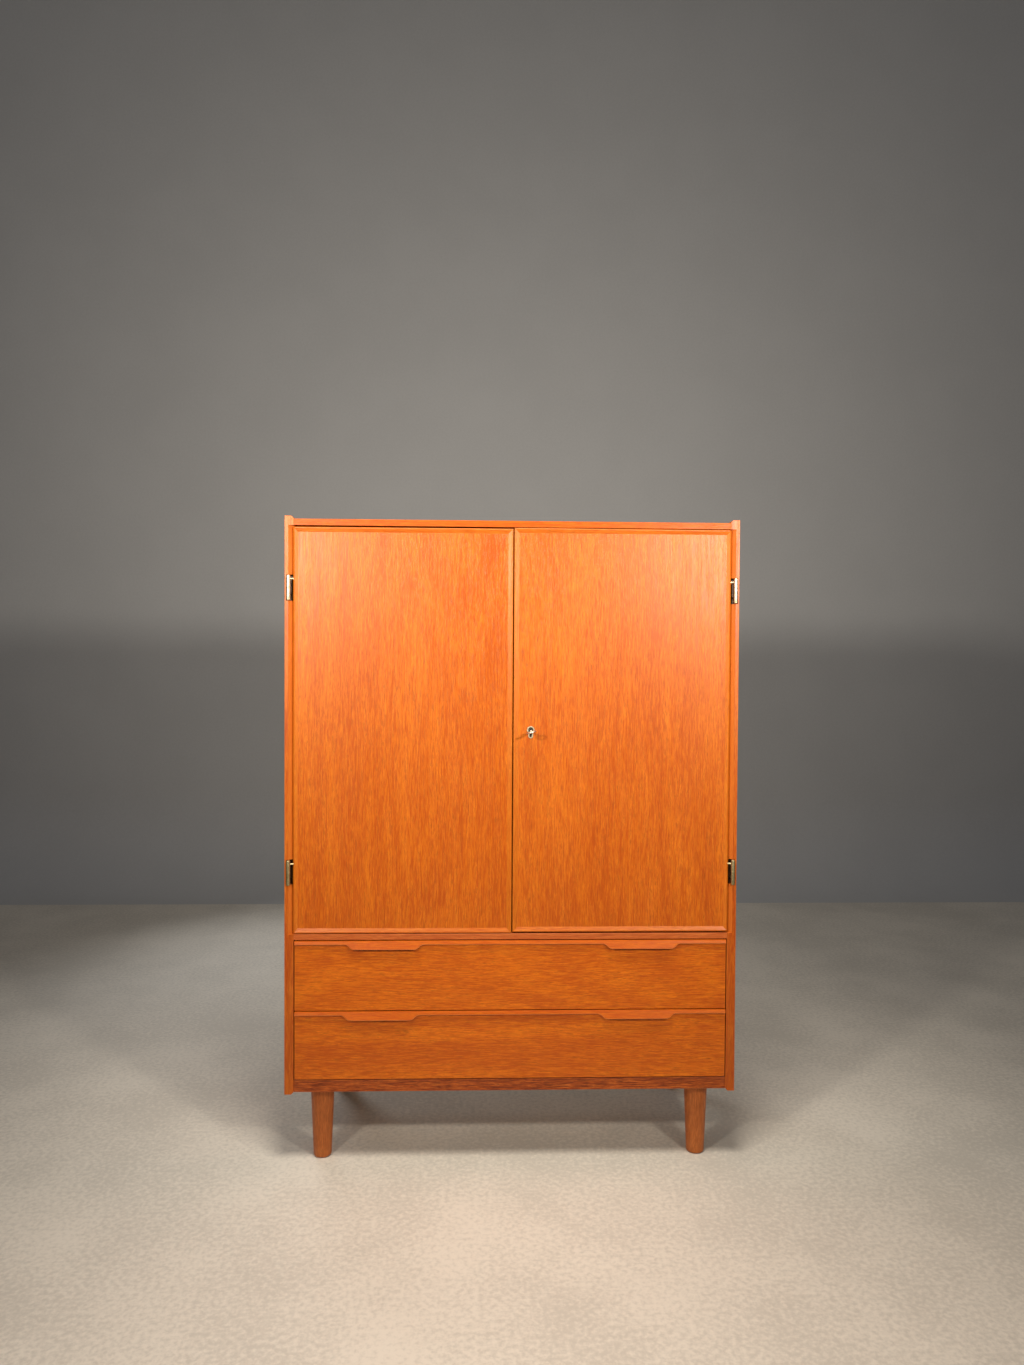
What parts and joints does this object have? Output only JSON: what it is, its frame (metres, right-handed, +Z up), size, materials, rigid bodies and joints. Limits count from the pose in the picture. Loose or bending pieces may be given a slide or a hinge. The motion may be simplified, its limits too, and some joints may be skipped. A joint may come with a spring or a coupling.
{
  "type": "wardrobe with doors",
  "caption": "Free-standing wooden wardrobe on turned legs, with hinged lockable doors over shelves and a hanging space, and drawers with sculpted lip pulls below.",
  "frame": {"origin": "on the floor, at the centre of the footprint box of the whole object, key and pulls included", "axes": "+X to the right seen from the front, +Y to the back, +Z up; the doors face -Y"},
  "size_m": [1.1, 0.524, 1.572],
  "materials": {
    "brass": "satin, slightly tarnished",
    "lock_steel": "plain",
    "zinc_steel": "zinc plated",
    "leg_teak": "oiled, turned",
    "rail_teak": "oiled",
    "beech_plywood": "plain",
    "beech": "plain",
    "teak_lipping": "oiled",
    "teak_drawer": "oiled veneer",
    "teak_door": "oiled veneer",
    "teak_carcass": "oiled veneer"
  },
  "bodies": {
    "carcass": {"back_panel": "beech_plywood", "back_panel_screws": "zinc_steel", "bottom_front_rail": "rail_teak", "bottom_panel": "beech_plywood", "centre_partition": "teak_carcass", "front_left_leg": "leg_teak", "front_right_leg": "leg_teak", "hanging_rail": "beech", "hanging_rail_sockets": "beech", "left_side_panel": "teak_carcass", "leg_bolts": "zinc_steel", "leg_plate_screws": "zinc_steel", "leg_plates": "zinc_steel", "lower_drawer_runners": "beech", "lower_left_hinge_frame_half": "brass", "lower_right_hinge_frame_half": "brass", "lower_shelf": "teak_carcass", "middle_deck": "teak_carcass", "middle_shelf": "teak_carcass", "rear_left_leg": "leg_teak", "rear_right_leg": "leg_teak", "right_side_panel": "teak_carcass", "shelf_pins": "zinc_steel", "top_panel": "teak_carcass", "upper_drawer_runners": "beech", "upper_left_hinge_frame_half": "brass", "upper_right_hinge_frame_half": "brass", "upper_shelf": "teak_carcass"},
    "left_door": {"left_door_bolt_guide": "lock_steel", "left_door_cross_lippings": "teak_lipping", "left_door_panel": "teak_door", "left_door_upright_lippings": "teak_lipping", "lower_left_hinge_door_half": "brass", "upper_left_hinge_door_half": "brass"},
    "right_door": {"door_lock_case": "lock_steel", "key_escutcheon": "brass", "lower_right_hinge_door_half": "brass", "right_door_cross_lippings": "teak_lipping", "right_door_panel": "teak_door", "right_door_upright_lippings": "teak_lipping", "upper_right_hinge_door_half": "brass"},
    "upper_drawer": {"upper_drawer_back": "beech", "upper_drawer_bottom": "beech_plywood", "upper_drawer_front": "teak_drawer", "upper_drawer_left_side": "beech", "upper_drawer_pull_strip": "teak_lipping", "upper_drawer_right_side": "beech"},
    "lower_drawer": {"lower_drawer_back": "beech", "lower_drawer_bottom": "beech_plywood", "lower_drawer_front": "teak_drawer", "lower_drawer_left_side": "beech", "lower_drawer_pull_strip": "teak_lipping", "lower_drawer_right_side": "beech"},
    "key": {"key": "brass"},
    "lock_bolt": {"lock_bolt": "lock_steel"},
    "left_door_bolt": {"left_door_bolt": "lock_steel"}
  },
  "joints": [
    {"name": "left_door_hinge", "type": "hinge", "parent": "carcass", "child": "left_door", "pos_m": [-0.5405, -0.22, 1.05615], "axis": [0, 0, -1], "range_deg": [0, 170]},
    {"name": "right_door_hinge", "type": "hinge", "parent": "carcass", "child": "right_door", "pos_m": [0.5405, -0.22, 1.05615], "axis": [0, 0, 1], "range_deg": [0, 170]},
    {"name": "upper_drawer_slide", "type": "slide", "parent": "carcass", "child": "upper_drawer", "axis": [0, -1, 0], "range_m": [0, 0.34]},
    {"name": "lower_drawer_slide", "type": "slide", "parent": "carcass", "child": "lower_drawer", "axis": [0, -1, 0], "range_m": [0, 0.34]},
    {"name": "key_turn", "type": "hinge", "parent": "right_door", "child": "key", "pos_m": [0.0433, -0.218, 1.05615], "axis": [0, 1, 0], "range_deg": [0, 90]},
    {"name": "lock_bolt_slide", "type": "slide", "parent": "right_door", "child": "lock_bolt", "axis": [-1, 0, 0], "range_m": [0, 0.007]},
    {"name": "left_door_bolt_slide", "type": "slide", "parent": "left_door", "child": "left_door_bolt", "axis": [0, 0, 1], "range_m": [0, 0.009]}
  ],
  "couplings": [
    {"joint": "key_turn", "follows": "lock_bolt_slide", "rad_per_m": 224.4}
  ]
}
